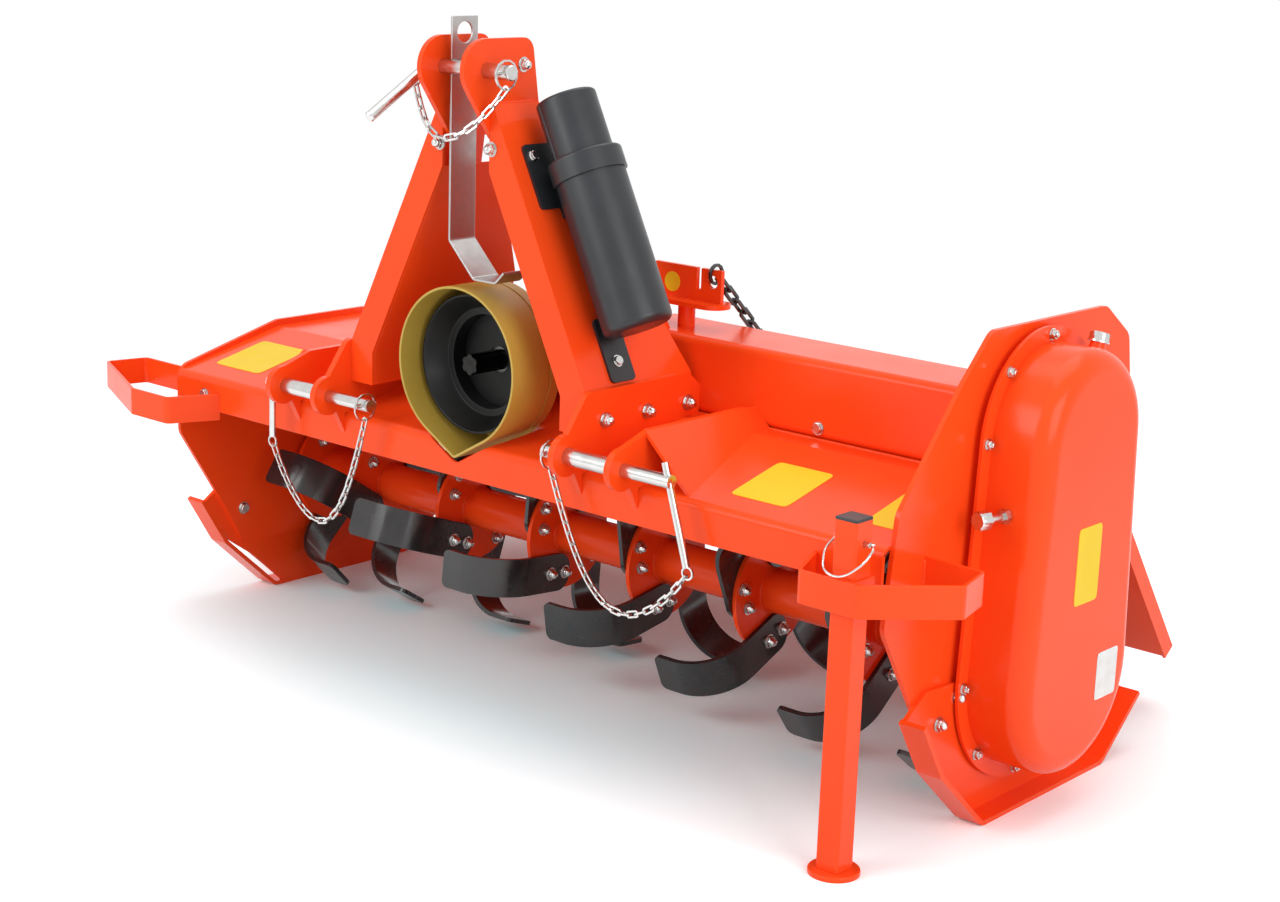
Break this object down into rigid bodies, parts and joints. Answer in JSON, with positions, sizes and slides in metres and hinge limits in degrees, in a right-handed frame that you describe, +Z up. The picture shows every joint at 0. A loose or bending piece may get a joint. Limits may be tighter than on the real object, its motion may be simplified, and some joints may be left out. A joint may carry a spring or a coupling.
{
  "type": "tractor-mounted rotary tiller",
  "caption": "Rotary tiller for a tractor's three-point linkage: bent hood over a bladed rotor, tower, chain case, input guard, skids, stand and trailing board.",
  "frame": {"origin": "on the ground under the middle of the machine's box, in line with the hitch centre", "axes": "+X across the machine towards the chain case, +Y back from the tractor, +Z up"},
  "size_m": [1.9963, 1.0752, 1.174],
  "materials": {
    "orange_paint": "gloss",
    "yellow_plastic": "satin",
    "black_plastic": "satin",
    "zinc_plate": "bright zinc",
    "galvanised_steel": "galvanised",
    "blade_steel": "dark satin",
    "cast_housing": "cast grey",
    "bright_steel": "machined"
  },
  "bodies": {
    "frame": {"board_chain": "blade_steel", "board_hinge_rod": "zinc_plate", "chain_bracket": "orange_paint", "chain_case_cover": "orange_paint", "chain_case_flange": "orange_paint", "document_tube": "black_plastic", "document_tube_cap": "black_plastic", "drive_beam": "orange_paint", "gearbox": "cast_housing", "hood_deck": "orange_paint", "input_cone": "black_plastic", "input_guard": "yellow_plastic", "left_bearing": "orange_paint", "left_ear": "orange_paint", "left_end_plate": "orange_paint", "left_guard_loop": "orange_paint", "left_inner_lug": "orange_paint", "left_leg": "orange_paint", "left_lower_pin": "zinc_plate", "left_outer_lug": "orange_paint", "left_skid": "orange_paint", "linch_pins": "zinc_plate", "pin_chains": "zinc_plate", "right_ear": "orange_paint", "right_end_plate": "orange_paint", "right_guard_loop": "orange_paint", "right_inner_lug": "orange_paint", "right_leg": "orange_paint", "right_lower_pin": "zinc_plate", "right_outer_lug": "orange_paint", "right_skid": "orange_paint", "shaft_hook": "galvanised_steel", "stand_sleeve": "orange_paint", "top_pin": "zinc_plate", "tube_clips": "black_plastic"},
    "rotor": {"rotor_tube": "orange_paint", "left_hand_blades": "blade_steel", "right_hand_blades": "blade_steel"},
    "input": {"input_shaft": "bright_steel"},
    "stand": {"stand_leg": "orange_paint", "stand_foot": "orange_paint", "stand_cap": "black_plastic", "stand_lock_pin": "zinc_plate"},
    "rear_board": {"rear_board": "orange_paint"}
  },
  "joints": [
    {"name": "rotor_spin", "type": "hinge", "parent": "frame", "child": "rotor", "pos_m": [0, -0.032, 0.23], "axis": [1, 0, 0], "continuous": true},
    {"name": "input_spin", "type": "hinge", "parent": "frame", "child": "input", "pos_m": [0, -0.303, 0.603], "axis": [0, 1, 0], "continuous": true},
    {"name": "board_hinge", "type": "hinge", "parent": "frame", "child": "rear_board", "pos_m": [0, 0.249, 0.44], "axis": [1, 0, 0], "range_deg": [0, 50], "deforming": ["board_chain"]},
    {"name": "stand_slide", "type": "slide", "parent": "frame", "child": "stand", "axis": [0, 0, 1], "range_m": [0, 0.25]}
  ],
  "couplings": [
    {"joint": "input_spin", "follows": "rotor_spin", "ratio": 2.5}
  ]
}
